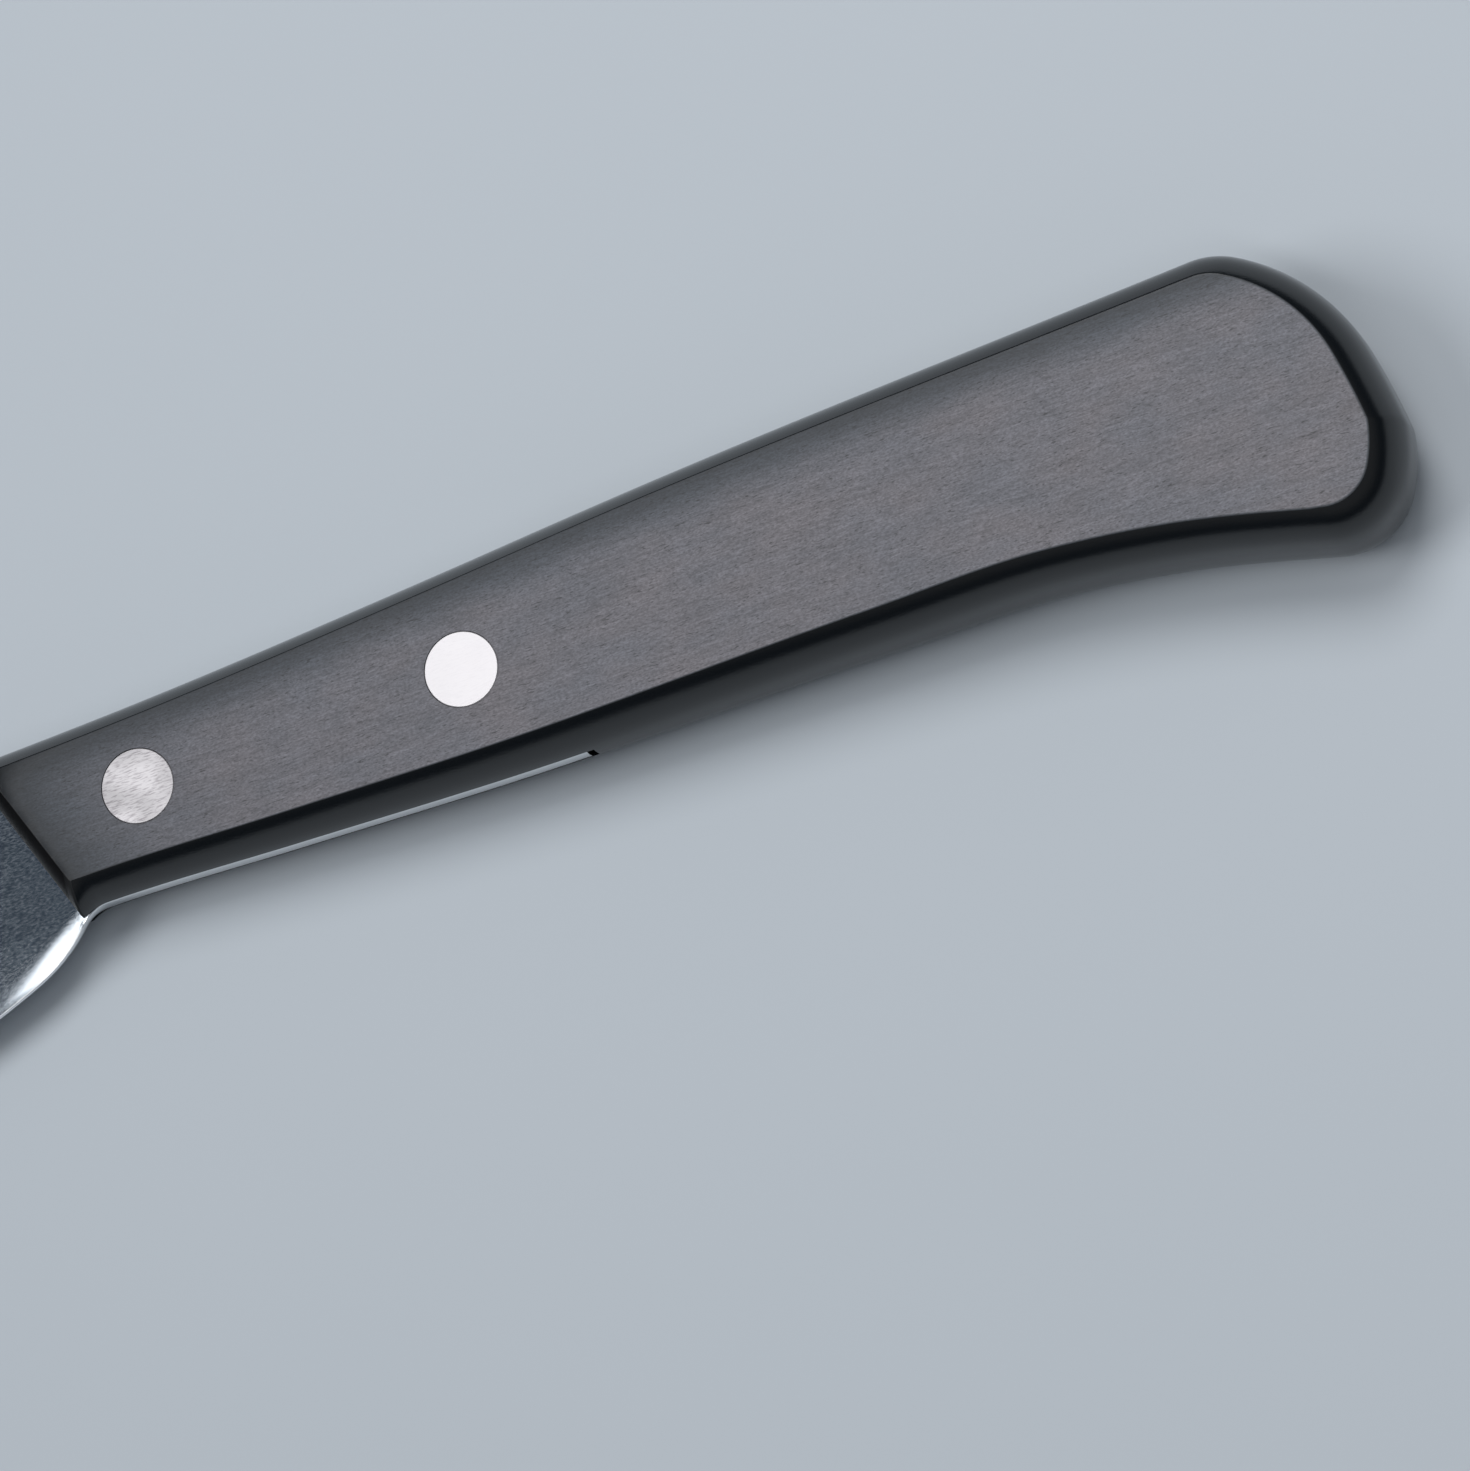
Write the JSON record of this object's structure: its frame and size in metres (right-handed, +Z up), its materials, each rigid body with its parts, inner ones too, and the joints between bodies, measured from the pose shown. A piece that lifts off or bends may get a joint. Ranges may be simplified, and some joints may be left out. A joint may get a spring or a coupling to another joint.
{
  "type": "cheese spreader",
  "caption": "Cheese spreader lying flat: broad rounded steel blade, half tang set in a slotted dark wooden handle with flush rivets, barrelled sides and a flared butt.",
  "frame": {"origin": "on the lower flat of the handle, midway between the two rivets", "axes": "+X along the rivet line to the butt, +Y to the spine, -Y to the spreading edge, +Z up from the lower flat, on which the spreader lies"},
  "size_m": [0.2011, 0.0294, 0.0115],
  "materials": {
    "ground_steel": "finely ground and polished, bright bevel along the heel",
    "stained_wood": "dark grey stained, fine sanded, matt, short pores along the handle",
    "rivet_aluminium": "ground flush along the handle, fine brushed lines"
  },
  "bodies": {
    "root": {"blade_with_tang": "ground_steel", "handle": "stained_wood", "front_rivet_pin": "rivet_aluminium", "front_rivet_sleeve": "rivet_aluminium", "rear_rivet_pin": "rivet_aluminium", "rear_rivet_sleeve": "rivet_aluminium"}
  },
  "joints": []
}
